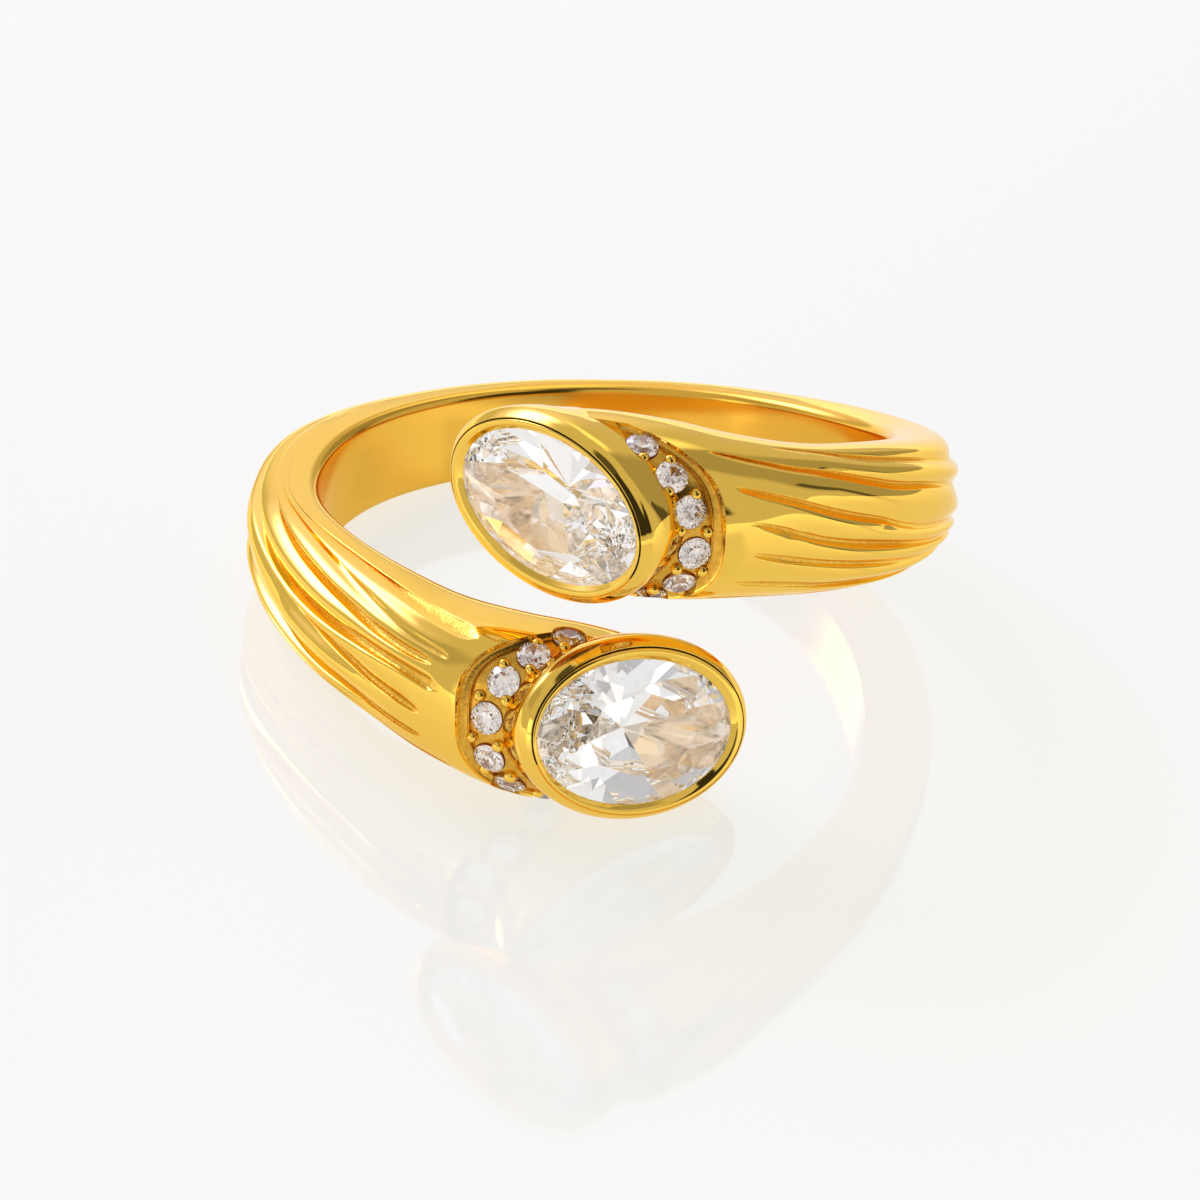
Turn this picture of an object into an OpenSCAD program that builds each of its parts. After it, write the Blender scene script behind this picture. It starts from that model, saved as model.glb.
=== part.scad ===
// Open bypass ring: two arms of one gold band pass each other at the front, and each ends in an
// oval stone in a closed bezel, with a crescent of small round stones behind it.
// The band is worked out with the finger hole along Z and its back at +Y, then laid on its side.
// The lower arm is the upper arm turned half a turn about Y.

/* [Finger hole] */
// Inner diameter of the ring
bore_d = 17.3; // [15:0.1:20]

/* [Rest] */
// Lean of the ring on the table, front raised (degrees)
rest_tilt = 12.91; // [0:0.01:20]
// Sideways lean of the ring on the table (degrees)
rest_lean = -3.4; // [-10:0.01:10]
// Height of the middle of the finger hole above the table
rest_height = 3.6; // [2:0.01:6]
// Sideways shift that puts the middle of the part's box over the origin
rest_x = -0.007; // [-1:0.001:1]
// The same shift toward the back
rest_y = 2.146; // [0:0.001:4]

/* [Arm section] */
// Share of the wall at which the arm is at its tallest
belly_share = 0.32; // [0.1:0.01:0.5]

/* [Main stones] */
// Visible length of an oval stone
stone_l = 6.84; // [5:0.01:8]
// Visible width of an oval stone
stone_w = 4.3; // [3:0.1:6]
// Width of girdle hidden under the bezel lip
lip_cover = 0.1; // [0.05:0.01:0.2]
// Height of the table above the stone's visible edge
crown_rise = 0.35; // [0:0.01:0.6]
// Table size as a share of the stone
table_share = 0.56; // [0.4:0.01:0.7]
// Depth of the pavilion below the girdle
pavilion = 1.85; // [1:0.05:2.5]

/* [Accent channel] */
// Depth of the channel floor under the shoulder
channel_depth = 0.42; // [0.2:0.01:0.7]
// Diameter of an accent stone
accent_d = 0.98; // [0.7:0.01:1.3]
// Diameter of a bead beside the accent stones
bead_d = 0.34; // [0.2:0.01:0.5]
// Distance of the beads from the middle of the row (degrees round the ring)
bead_aside = 1.9; // [1:0.05:3]
// Gap between each stone and its seat
seat_gap = 0.04; // [0.02:0.01:0.1]

/* [Grooves] */
// Deepest cut of a groove
groove_depth = 0.2; // [0:0.01:0.3]
// Half width of a groove on the section (degrees)
groove_half = 3.8; // [1:0.1:5]

/* [Hidden] */
gold = [0.9, 0.68, 0.25];
crystal = [0.93, 0.93, 0.95];
bore_r = bore_d / 2;
inner_r = bore_r - 0.7;
// Sections of an arm, from the back to under the head
// [angle from the back, bottom edge, top edge, crest radius, section power]
stations = [
    [0, -1.42, 1.42, 9.87, 4.0],
    [35, -1.38, 1.53, 10.35, 3.5],
    [64, -1.24, 1.85, 10.95, 3.3],
    [90, -0.88, 2.6, 10.9, 2.8],
    [119, -0.62, 3.62, 10.83, 2.5],
    [140, -0.2, 4.3, 11.35, 2.4],
    [155, 0.2, 4.98, 12.25, 2.4],
    [168, 0.42, 5.62, 12.9, 2.4],
    [180, 0.7, 5.9, 12.9, 2.4],
    [190, 1.25, 5.75, 12.4, 2.4],
    [198, 2.1, 5.35, 11.6, 2.4],
];
// Grooves of an arm, from its top edge down
// [angle where it starts, place on the section there, place at the side, depth share]
grooves = [
    [149, 74, 8, 0.6],
    [163, 59, -17, 1],
    [160, 30, -36, 1],
    [157, 7, -46, 1],
    [158, -9, -58, 1],
    [160, -32, -72, 0.9],
    [164, -57, -79, 0.8],
];
side_angle = 60;
// Outline of the bezel wall, from inside the band up over the rounded rim
// [distance outside the visible stone, height above its edge, lean toward the tip]
bezel = [
    [-1.18, -4.1, 0],
    [-0.3, -3.3, 0],
    [0.1, -2.4, 0.05],
    [0.3, -1.7, 0.1],
    [0.48, -1.2, 0.15],
    [0.6, -0.7, 0.16],
    [0.63, -0.3, 0.16],
    [0.59, -0.06, 0.15],
    [0.48, 0.09, 0.1],
    [0.3, 0.15, 0.04],
    [0.15, 0.14, 0],
    [0.05, 0.06, 0],
    [-0.05, -0.06, 0],
];
// Place of each head, upper arm first; they differ a little, as set by hand
// [angle past the front, distance from the axis, height, turn to the tip, lift, roll]
heads = [
    [6.45, 11.45, 3.4, 41, -2.7, -8],
    [6.9, 11.46, 3.4, 36, -3.9, -9],
];
// Angle from the back at which the crescent channel starts, how far it curls away at the edges of the
// section, the width of its sloping wall, and the place on the section where it ends
channel_start = 162;
channel_curl = 12;
channel_wall = 1.8;
channel_end = 80;
// The same for the row of accents in it, with the middle of each arm's row, upper arm first
accent_bulge = 166;
accent_curl = 8.5;
accent_middle = [-10, 10];
// Places on the section of each arm's accents, set by hand, upper arm first
accent_places = [[60, 35, 11, -12, -41, -67], [79, 52, 25, -1.5, -28, -54, -78]];

half_l = stone_l / 2;
half_w = stone_w / 2;
girdle_top = -0.1;
girdle_low = girdle_top - 0.08;

// Row of a table whose first column rises, the last one at or before x
function row_at(t, x, i = 0) = (i >= len(t) - 2 || x < t[i + 1][0]) ? i : row_at(t, x, i + 1);
function slope(t, i, c) =
    let (a = max(i - 1, 0), b = min(i + 1, len(t) - 1))
    (t[b][c] - t[a][c]) / (t[b][0] - t[a][0]);
// Smooth curve through one column of such a table
function smooth(t, x, c) =
    let (i = row_at(t, x), h = t[i + 1][0] - t[i][0], u = (x - t[i][0]) / h)
    t[i][c] * (2 * pow(u, 3) - 3 * u * u + 1)
    + slope(t, i, c) * h * (pow(u, 3) - 2 * u * u + u)
    + t[i + 1][c] * (3 * u * u - 2 * pow(u, 3))
    + slope(t, i + 1, c) * h * (pow(u, 3) - u * u);
function clamp(x, a = 0, b = 1) = min(max(x, a), b);
function spow(x, e) = sign(x) * pow(abs(x), e);
function at(angle, r, z) = [r * sin(angle), r * cos(angle), z];

// Groove j of an arm: its place on the section and its strength there, 0 to 1
function groove_place(j, a) =
    let (g = grooves[j])
    a > g[0] ? g[1]
    : a > side_angle ? g[2] + (g[1] - g[2]) * (a - side_angle) / (g[0] - side_angle)
    : g[2] + (60 - 20 * j - g[2]) * (side_angle - a) / side_angle;
function groove_strength(j, a) =
    let (g = grooves[j])
    g[3] * clamp((g[0] - a) / 7) * clamp((a - side_angle) / 50);
// Section of an arm as [place on the section, groove depth], top edge first
function lanes(a) =
    let (c = [for (j = [0:len(grooves) - 1]) groove_place(j, a)])
    [
        [84, 0],
        for (j = [0:len(grooves) - 1])
            let (s = groove_strength(j, a), w = groove_half * (0.35 + 0.65 * min(1, s * 2)))
            each [
                [((j == 0 ? 90 : c[j - 1]) + c[j]) / 2, 0],
                [c[j] + w, 0], [c[j], s * groove_depth], [c[j] - w, 0],
            ],
        [(c[len(c) - 1] - 90) / 2, 0],
        [-84, 0],
    ];
// Outer radius, middle radius, bottom, top and section power of an arm, sunk by some depth
function arm(angle, sink = 0) =
    let (a = abs(angle), s = angle < 0 ? -1 : 1, b = s * smooth(stations, a, 1), t = s * smooth(stations, a, 2),
        rc = smooth(stations, a, 3))
    [rc - sink, bore_r + belly_share * (rc - bore_r), min(b, t) + sink / 2, max(b, t) - sink / 2,
        smooth(stations, a, 4)];
function arm_point(angle, place, sink, cut) =
    let (m = arm(angle, sink), e = 2 / m[4])
    at(angle, m[1] + (cos(place) > 0 ? m[0] - m[1] : m[1] - inner_r) * spow(cos(place), e) - cut,
        (m[2] + m[3]) / 2 + (m[3] - m[2]) / 2 * spow(sin(place), e));
function section(angle, sink) =
    let (list = lanes(abs(angle)), n = len(list),
        outer = angle < 0 ? [for (i = [n - 1:-1:0]) [-list[i][0], list[i][1]]] : list)
    [for (p = concat(outer, [[-112, 0], [-150, 0], [150, 0], [112, 0]])) arm_point(angle, p[0], sink, p[1])];

// Solid through rings that have the same number of points
module skin(rings) {
    n = len(rings) - 1;
    m = len(rings[0]);
    polyhedron([for (r = rings) each r], [
        for (i = [0:n - 1], j = [0:m - 1])
            let (k = (j + 1) % m) [i * m + j, (i + 1) * m + j, (i + 1) * m + k, i * m + k],
        [for (j = [0:m - 1]) j],
        [for (j = [m - 1:-1:0]) n * m + j],
    ]);
}
function oval(a, b, z, count = 48, turn = 0) =
    [for (i = [0:count - 1]) let (t = 360 * i / count + turn) [a * cos(t), b * sin(t), z]];

// Frame of a head, in its own arm turned upward: middle, along the stone toward the shoulder, across it
// upward, and out of it. Side 1 is the upper arm, -1 the lower.
function arm_row(side) = side > 0 ? 0 : 1;
function head_frame(side) =
    let (h = heads[arm_row(side)], out = [-sin(h[3]) * cos(h[4]), -cos(h[3]) * cos(h[4]), sin(h[4])],
        level = [cos(h[3]), -sin(h[3]), 0], along = level * cos(h[5]) + cross(out, level) * sin(h[5]))
    [at(180 + h[0], h[1], h[2]), along, cross(out, along), out];
module frame(f)
    multmatrix([for (i = [0:2]) [f[1][i], f[2][i], f[3][i], f[0][i]]]) children();
module arm_side(side) rotate([0, side > 0 ? 0 : 180, 0]) children();
module head(side) arm_side(side) frame(head_frame(side)) children();
module rest()
    translate([rest_x, rest_y, rest_height]) rotate([-rest_tilt, rest_lean, 0]) children();

// Frame on the channel floor at a place on the section, some degrees aside of the row of accents
module on_floor(side, place, aside = 0) {
    a = accent_bulge + accent_curl * pow(abs(place - accent_middle[arm_row(side)]) / 78, 1.8) + aside;
    p = arm_point(a, place, channel_depth, 0);
    round_way = arm_point(a + 0.5, place, channel_depth, 0) - p;
    n = cross(arm_point(a, place + 1, channel_depth, 0) - p, round_way);
    x = round_way / norm(round_way);
    arm_side(side) frame([p, x, cross(n, x) / norm(n), n / norm(n)]) children();
}

// Band: both arms in one sweep, cut away for the heads, with cups, channels, beads and seats
module sweep() {
    angles = [for (a = [196:-4:100]) a, for (i = [14:-1:-14]) i * 94 / 14, for (a = [-100:-4:-196]) a];
    skin([for (a = angles) section(a, 0)]);
}
// Crescent channel: from its curved start to past the tip, down to its depth under the surface
function channel_slice(place) =
    let (start = channel_start + channel_curl * pow(abs(place) / 78, 2.6), floor_start = start + channel_wall)
    [
        arm_point(start - 0.3, place, -0.07, 0),
        for (i = [0:6]) arm_point(floor_start + (198 - floor_start) * i / 6, place, channel_depth, 0),
        for (i = [3:-1:0]) arm_point(start + (198 - start) * i / 3, place, -2, 0),
    ];
module channel_cut(side) arm_side(side)
    skin([for (i = [-8:8]) channel_slice(i * channel_end / 8)]);
module head_space(side) head(side) translate([-7.4, -3.4, -0.15]) cube([8, 6.8, 4]);
module cup(side) head(side)
    skin([for (b = bezel) [for (p = oval(half_l + b[0], half_w + b[0], b[1])) p - [b[2], b[2] / 2, 0]]]);
// The seat's points lie between those of the cup's wall
module main_seat(side) head(side) {
    g = lip_cover + seat_gap;
    skin([for (p = [
            [half_l * 0.2, half_w * 0.2, girdle_low - pavilion - 0.14],
            [half_l + g, half_w + g, girdle_low - 0.04],
            [half_l + g, half_w + g, girdle_top + 0.04],
            [half_l, half_w, girdle_top + 0.08],
            [half_l, half_w, 1],
        ]) oval(p[0], p[1], p[2], 48, 3.75)]);
}
module accent_seat() {
    r = accent_d / 2 + seat_gap;
    skin([for (p = [[0.1, -0.62], [r, -0.08], [r, 0.5]]) oval(p[0], p[0], p[1], 16, 11.25)]);
}
module arms() difference() {
    sweep();
    for (side = [1, -1]) {
        channel_cut(side);
        head_space(side);
    }
}
module band() color(gold) rest() difference() {
    resize([0, 0, 0]) difference() {
        union() {
            arms();
            for (side = [1, -1]) {
                cup(side);
                row = accent_places[arm_row(side)];
                for (k = [1:len(row) - 1], aside = [-bead_aside, bead_aside])
                    on_floor(side, (row[k - 1] + row[k]) / 2, aside) sphere(d = bead_d, $fn = 8);
            }
        }
        for (side = [1, -1]) {
            main_seat(side);
            for (place = accent_places[arm_row(side)]) on_floor(side, place) accent_seat();
        }
    }
    cylinder(h = 30, r = bore_r, center = true, $fn = 180);
}

// Faceted oval stone: octagonal table, stars and kites, scalloped girdle, eight pavilion mains
module oval_stone(side) color(crystal) rest() head(side) {
    a = half_l + lip_cover;
    b = half_w + lip_cover;
    mid_share = (1 + table_share) / 2 + 0.02;
    mid_z = girdle_top + (crown_rise - girdle_top) * 0.52;
    points = [
        each oval(a * table_share, b * table_share, crown_rise, 8),
        each oval(a * mid_share, b * mid_share, mid_z, 8, 22.5),
        each oval(a, b, girdle_top, 32),
        each oval(a, b, girdle_low, 32),
        each oval(a * 0.42, b * 0.42, girdle_low - pavilion * 0.62, 8, 22.5),
        [0, 0, girdle_low - pavilion],
    ];
    // Joined points from ring to ring; girdle point k of the crown is 16 + k, of the pavilion 48 + k
    polyhedron(points, [
        [for (i = [7:-1:0]) i],
        for (i = [0:7])
            let (t = i, s = (i + 1) % 8, m = 8 + i, l = 8 + (i + 7) % 8, g = 16 + 4 * i, h = 48 + 4 * i,
                p = 80 + i, q = 80 + (i + 7) % 8)
            each [
                [t, s, m], [t, m, g], [t, g, l],
                for (k = [0:1])
                    let (c = 16 + (4 * i + 32 - k) % 32, d = 16 + (4 * i + 31 - k) % 32)
                    each [[m, g + k + 1, g + k], [l, c, d]],
                for (k = [0:3])
                    let (c = (4 * i + k + 1) % 32)
                    each [[g + k, 16 + c, 48 + c, h + k]],
                for (k = [0:1])
                    let (c = 48 + (4 * i + 32 - k) % 32, d = 48 + (4 * i + 31 - k) % 32)
                    each [[p, h + k, h + k + 1], [q, d, c]],
                [h, p, q], [p, 88, q],
            ],
    ]);
}
module upper_stone() oval_stone(1);
module lower_stone() oval_stone(-1);

// Small round stone with a table, eight crown mains and eight pavilion mains
module accent(side, k) color(crystal) rest() on_floor(side, accent_places[arm_row(side)][k - 1]) {
    r = accent_d / 2;
    points = [
        each oval(r * 0.56, r * 0.56, 0.15, 8),
        each oval(r, r, 0, 16),
        each oval(r, r, -0.04, 16),
        [0, 0, -0.46],
    ];
    polyhedron(points, [
        [for (i = [7:-1:0]) i],
        for (i = [0:7]) let (s = (i + 1) % 8, g = 8 + 2 * i)
            each [[i, g + 1, g], [i, s, g + 1], [s, 8 + (2 * i + 2) % 16, g + 1]],
        for (j = [0:15]) let (n = (j + 1) % 16) each [[8 + j, 8 + n, 24 + n, 24 + j], [24 + j, 24 + n, 40]],
    ]);
}
module upper_accent_1() accent(1, 1);
module upper_accent_2() accent(1, 2);
module upper_accent_3() accent(1, 3);
module upper_accent_4() accent(1, 4);
module upper_accent_5() accent(1, 5);
module upper_accent_6() accent(1, 6);
module lower_accent_1() accent(-1, 1);
module lower_accent_2() accent(-1, 2);
module lower_accent_3() accent(-1, 3);
module lower_accent_4() accent(-1, 4);
module lower_accent_5() accent(-1, 5);
module lower_accent_6() accent(-1, 6);
module lower_accent_7() accent(-1, 7);

band();
upper_stone();
lower_stone();
upper_accent_1();
upper_accent_2();
upper_accent_3();
upper_accent_4();
upper_accent_5();
upper_accent_6();
lower_accent_1();
lower_accent_2();
lower_accent_3();
lower_accent_4();
lower_accent_5();
lower_accent_6();
lower_accent_7();
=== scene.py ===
"""Dressed model of an open bypass ring: a gold band, two bezel-set ovals and crescents of small stones.

The tables hold millimetres in the ring's own frame, with the finger hole along Z and the back of the band
at +Y. Rest lays that frame on its side, and every mesh is made in metres in the frame of the solids.
"""

import logging
import math
from dataclasses import dataclass, field
from enum import Enum

import bmesh
import bpy
import numpy as np
from mathutils import Matrix, Vector

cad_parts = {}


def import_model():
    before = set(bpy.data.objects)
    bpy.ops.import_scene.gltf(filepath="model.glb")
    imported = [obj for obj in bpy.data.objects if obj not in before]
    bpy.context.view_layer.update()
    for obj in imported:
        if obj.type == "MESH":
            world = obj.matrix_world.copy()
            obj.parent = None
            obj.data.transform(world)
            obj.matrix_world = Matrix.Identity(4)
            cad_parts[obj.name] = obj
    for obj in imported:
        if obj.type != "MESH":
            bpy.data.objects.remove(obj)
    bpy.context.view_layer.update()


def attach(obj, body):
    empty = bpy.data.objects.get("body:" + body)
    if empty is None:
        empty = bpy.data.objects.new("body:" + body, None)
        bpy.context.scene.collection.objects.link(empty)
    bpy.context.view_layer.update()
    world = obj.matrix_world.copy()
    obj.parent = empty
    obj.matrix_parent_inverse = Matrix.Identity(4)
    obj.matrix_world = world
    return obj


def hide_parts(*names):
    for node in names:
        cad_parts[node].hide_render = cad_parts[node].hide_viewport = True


LOG = logging.getLogger("ring")
MM = 0.001


class Side(Enum):
    """The arm that a piece belongs to."""

    UPPER = 1
    LOWER = -1


class Join(Enum):
    """How a second solid is joined to a first."""

    ADD = "UNION"
    CUT = "DIFFERENCE"


class Finish(Enum):
    """Material slot of each finish of the metal. The seam slot is painted shade, and the channel slot's darker tone
    is partly painted shade.
    """

    POLISHED = 0
    CHANNEL = 1
    SEAT = 2
    SEAM = 3


def spow(x: np.ndarray, e: np.ndarray) -> np.ndarray:
    """Power that keeps the sign of x."""
    return np.sign(x) * np.abs(x) ** e


def ramp(x: np.ndarray) -> np.ndarray:
    """Straight rise from 0 to 1."""
    return np.clip(x, 0.0, 1.0)


def ease(x: np.ndarray) -> np.ndarray:
    """Smooth rise from 0 to 1."""
    t = ramp(x)
    return t * t * (3.0 - 2.0 * t)


def smooth(table: np.ndarray, x: np.ndarray, column: int) -> np.ndarray:
    """Smooth curve through one column of a table.

    Args:
        table: Rows whose first column rises.
        x: Places to read, in the units of the first column.
        column: Column to read.

    Returns:
        One value for each x.
    """
    keys, values = table[:, 0], table[:, column]
    last = len(table) - 1
    i = np.clip(np.searchsorted(keys, x, side="right") - 1, 0, last - 1)
    index = np.arange(last + 1)
    before, after = np.maximum(index - 1, 0), np.minimum(index + 1, last)
    slope = (values[after] - values[before]) / (keys[after] - keys[before])
    h = keys[i + 1] - keys[i]
    u = (x - keys[i]) / h
    return (
        values[i] * (2 * u**3 - 3 * u**2 + 1)
        + slope[i] * h * (u**3 - 2 * u**2 + u)
        + values[i + 1] * (3 * u**2 - 2 * u**3)
        + slope[i + 1] * h * (u**3 - u**2)
    )


@dataclass(frozen=True)
class Rest:
    """How the ring lies on the table: its tilt and lean in degrees and its shift in millimetres."""

    tilt: float = 12.91
    lean: float = -3.4
    shift: tuple[float, float, float] = (-0.007, 2.146, 3.6)

    def turn(self) -> np.ndarray:
        """Rotation from the ring's own frame to the frame of the solids.

        Returns:
            3 x 3 matrix.
        """
        x, y = math.radians(-self.tilt), math.radians(self.lean)
        about_x = np.array([[1, 0, 0], [0, math.cos(x), -math.sin(x)], [0, math.sin(x), math.cos(x)]])
        about_y = np.array([[math.cos(y), 0, math.sin(y)], [0, 1, 0], [-math.sin(y), 0, math.cos(y)]])
        return about_y @ about_x

    def place(self, points: np.ndarray) -> np.ndarray:
        """Points of the ring's own frame, in metres in the frame of the solids."""
        return (np.asarray(points) @ self.turn().T + np.array(self.shift)) * MM

    def own(self, points: np.ndarray) -> np.ndarray:
        """Points of the frame of the solids, in millimetres in the ring's own frame."""
        return (points / MM - np.array(self.shift)) @ self.turn()


@dataclass(frozen=True)
class Solid:
    """Points and faces of one closed mesh, in millimetres in the ring's own frame."""

    points: np.ndarray
    faces: list[tuple[int, ...]]

    def moved(self, frame: np.ndarray) -> "Solid":
        """The solid carried through a 4 x 4 frame.

        Args:
            frame: Columns are the axes and the origin.

        Returns:
            The carried solid.
        """
        return Solid(self.points @ frame[:3, :3].T + frame[:3, 3], self.faces)


def skin(rings: np.ndarray) -> Solid:
    """Closed solid through rings that have the same number of points.

    Args:
        rings: Array of rings by points by three.

    Returns:
        The solid, with both ends closed.
    """
    count, size = rings.shape[:2]
    faces: list[tuple[int, ...]] = [
        (i * size + j, i * size + (j + 1) % size, (i + 1) * size + (j + 1) % size, (i + 1) * size + j)
        for i in range(count - 1)
        for j in range(size)
    ]
    faces.append(tuple(range(size - 1, -1, -1)))
    faces.append(tuple((count - 1) * size + j for j in range(size)))
    return Solid(rings.reshape(-1, 3), faces)


def oval(a: float, b: float, z: float, count: int, turn: float = 0.0) -> np.ndarray:
    """Points of a level ellipse.

    Args:
        a: Half length.
        b: Half width.
        z: Height.
        count: Number of points.
        turn: Angle of the first point in degrees.

    Returns:
        Array of points.
    """
    t = np.radians(np.arange(count) * 360.0 / count + turn)
    return np.stack([a * np.cos(t), b * np.sin(t), np.full(count, z)], axis=1)


@dataclass(frozen=True)
class Groove:
    """One fan groove: its line over the arm, its half width and its depth in millimetres.

    The line's points are (degrees from the back, degrees round the section). Behind the angle named tail only
    a faint part of the groove runs on, until it is gone. Its front tip is part blunt and part sloped.
    """

    line: tuple[tuple[float, float], ...]
    half_width: float = 0.16
    depth: float = 0.16
    tail: float = 112.0
    faint: tuple[float, float] = (0.14, 0.86)
    fading: float = 16.0
    gone: float = 62.0
    growing: float = 30.0
    blunt: tuple[float, float] = (0.7, 0.4)
    sloped: tuple[float, float] = (0.3, 4.0)
    slim: tuple[float, float] = (0.32, 0.68)
    narrow: tuple[float, float] = (0.45, 0.55)
    taper: float = 0.6

    def place(self, angle: np.ndarray) -> np.ndarray:
        """Place of the groove on the section at each angle from the back."""
        table = np.array(sorted(self.line))
        return smooth(table, np.clip(angle, table[0, 0], table[-1, 0]), 1)

    def behind(self, angle: np.ndarray) -> np.ndarray:
        """Degrees from each angle to the front tip of the groove."""
        return max(a for a, _ in self.line) - angle

    def strength(self, angle: np.ndarray) -> np.ndarray:
        """Share of the full depth at each angle.

        Args:
            angle: Degrees from the back.

        Returns:
            One share for each angle.
        """
        behind = self.behind(angle)
        tip = self.blunt[0] * ramp(behind / self.blunt[1]) + self.sloped[0] * ease(behind / self.sloped[1])
        body = self.faint[0] + self.faint[1] * ease((angle - self.tail) / self.fading)
        return tip * body * ease((angle - self.gone) / self.growing)

    def width(self, angle: np.ndarray) -> np.ndarray:
        """Half width at each angle, pointed at the front.

        Args:
            angle: Degrees from the back.

        Returns:
            One half width in millimetres for each angle.
        """
        grow = np.sqrt(ramp(self.behind(angle) * self.half_width / self.taper))
        body = self.narrow[0] + self.narrow[1] * ease((angle - self.tail) / self.growing)
        return self.half_width * (self.slim[0] + self.slim[1] * grow * body)


@dataclass(frozen=True)
class ArmShape:
    """Outside of the band from the back to under a head, as the solid has it.

    A station holds degrees from the back, bottom, top, crest radius and the power of the section's curve.
    """

    bore_radius: float = 8.65
    inner_radius: float = 7.95
    belly_share: float = 0.32
    stations: tuple[tuple[float, float, float, float, float], ...] = (
        (0, -1.42, 1.42, 9.87, 4.0),
        (35, -1.38, 1.53, 10.35, 3.5),
        (64, -1.24, 1.85, 10.95, 3.3),
        (90, -0.88, 2.6, 10.9, 2.8),
        (119, -0.62, 3.62, 10.83, 2.5),
        (140, -0.2, 4.3, 11.35, 2.4),
        (155, 0.2, 4.98, 12.25, 2.4),
        (168, 0.42, 5.62, 12.9, 2.4),
        (180, 0.7, 5.9, 12.9, 2.4),
        (190, 1.25, 5.75, 12.4, 2.4),
        (198, 2.1, 5.35, 11.6, 2.4),
    )

    def section(self, angle: np.ndarray, sink: float = 0.0) -> tuple[np.ndarray, ...]:
        """Sizes of the section at each angle.

        Args:
            angle: Degrees from the back; negative on the lower arm.
            sink: Depth under the surface.

        Returns:
            Crest radius, middle radius, bottom, top and power.
        """
        table = np.array(self.stations)
        a = np.abs(angle)
        side = np.where(angle < 0, -1.0, 1.0)
        low, high = side * smooth(table, a, 1), side * smooth(table, a, 2)
        crest = smooth(table, a, 3)
        middle = self.bore_radius + self.belly_share * (crest - self.bore_radius)
        bottom, top = np.minimum(low, high) + sink / 2, np.maximum(low, high) - sink / 2
        return crest - sink, middle, bottom, top, smooth(table, a, 4)

    def point(
        self, angle: np.ndarray, place: np.ndarray, sink: float = 0.0, cut: np.ndarray | float = 0.0
    ) -> np.ndarray:
        """Points on the surface of an arm.

        Args:
            angle: Degrees from the back.
            place: Degrees round the section, 90 at its top edge.
            sink: Depth under the surface of the whole section.
            cut: Extra depth toward the finger.

        Returns:
            Array of points.
        """
        angle, place = np.broadcast_arrays(np.asarray(angle, float), np.asarray(place, float))
        crest, middle, bottom, top, power = self.section(angle, sink)
        e = 2.0 / power
        c, s = np.cos(np.radians(place)), np.sin(np.radians(place))
        reach = np.where(c > 0, crest - middle, middle - self.inner_radius)
        r = middle + reach * spow(c, e) - cut
        z = (bottom + top) / 2 + (top - bottom) / 2 * spow(s, e)
        t = np.radians(angle)
        return np.stack([r * np.sin(t), r * np.cos(t), z], axis=-1)

    def corner(self, angle: np.ndarray) -> np.ndarray:
        """Place on the section where it meets the wall of the finger hole.

        Args:
            angle: Degrees from the back.

        Returns:
            Degrees round the section, one for each angle.
        """
        _, middle, _, _, power = self.section(angle)
        share = (middle - self.bore_radius) / (middle - self.inner_radius)
        return 180.0 - np.degrees(np.arccos(share ** (power / 2)))


UPPER_GROOVES: tuple[Groove, ...] = (
    Groove((
        (150, 75), (141, 72), (134, 64), (126, 56), (112, 46), (94, 30), (75, 18), (60, 8),
    ), 0.1, 0.07, 100),
    Groove((
        (163, 59), (154, 53), (149, 49), (143, 46), (137, 41), (130, 33), (122, 25), (112, 19), (94, 6),
        (75, -6), (60, -15),
    ), 0.115, 0.15, 98),
    Groove((
        (160, 30), (151, 22), (146, 17), (140, 11), (134, 6), (128, 2), (116, -6), (101, -14), (80, -26),
        (60, -34),
    ), 0.115, 0.16, 114),
    Groove(((157, 6), (149, 0), (138, -7), (125, -14), (112, -22), (95, -32), (60, -48)), 0.12, 0.16, 108),
    Groove(((157.5, -10), (148, -17), (138, -24), (125, -32), (105, -43), (60, -60)), 0.11, 0.14, 118),
    Groove(((160, -34), (149, -41), (142, -47), (125, -56), (105, -64), (60, -71)), 0.12, 0.13, 118),
    Groove(((163, -57), (155, -63), (146, -68), (127, -73), (100, -77), (60, -79)), 0.12, 0.1, 118),
    Groove(((165, -78), (150, -81), (127, -82.5), (60, -83.5)), 0.06, 0.04, 140),
)
LOWER_GROOVES: tuple[Groove, ...] = (
    Groove((
        (150, 75), (141, 72), (134, 68), (126, 62), (112, 52), (94, 38), (75, 26), (60, 16),
    ), 0.1, 0.07, 100),
    Groove(((160, 50), (150, 50), (137, 46), (120, 40), (100, 27), (60, 4)), 0.14, 0.12, 118),
    Groove((
        (156, 26), (152, 27), (144, 29), (137, 29), (127, 26), (112, 17), (95, 4), (60, -20),
    ), 0.13, 0.12, 118),
    Groove((
        (156, 6.5), (151, 5), (145, 5), (140, 4), (135, 2.5), (130, 1), (122, -2), (118, -6), (105, -17),
        (90, -28), (60, -42),
    ), 0.16, 0.16, 112),
    Groove((
        (158.5, -10.5), (152, -13), (145, -12), (137, -10), (128, -9.5), (119, -12), (112, -17), (100, -29),
        (85, -42), (60, -57),
    ), 0.29, 0.18, 110),
    Groove((
        (157.5, -25.5), (150, -27), (144, -28), (137, -32), (132, -34.5), (126, -38), (120, -42),
        (113, -49), (106, -58), (100, -65), (90, -71), (60, -75),
    ), 0.15, 0.17, 96),
    Groove((
        (160, -34), (157, -36.5), (154, -38.5), (150, -41), (140, -48), (130, -58), (120, -68), (108, -76),
        (60, -79.5),
    ), 0.22, 0.15, 148),
    Groove((
        (163, -57.5), (159, -60.5), (155, -64.5), (151, -67.5), (146, -70.5), (141, -74), (136, -78),
        (130, -81), (110, -83), (60, -84),
    ), 0.27, 0.19, 128),
)


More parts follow.
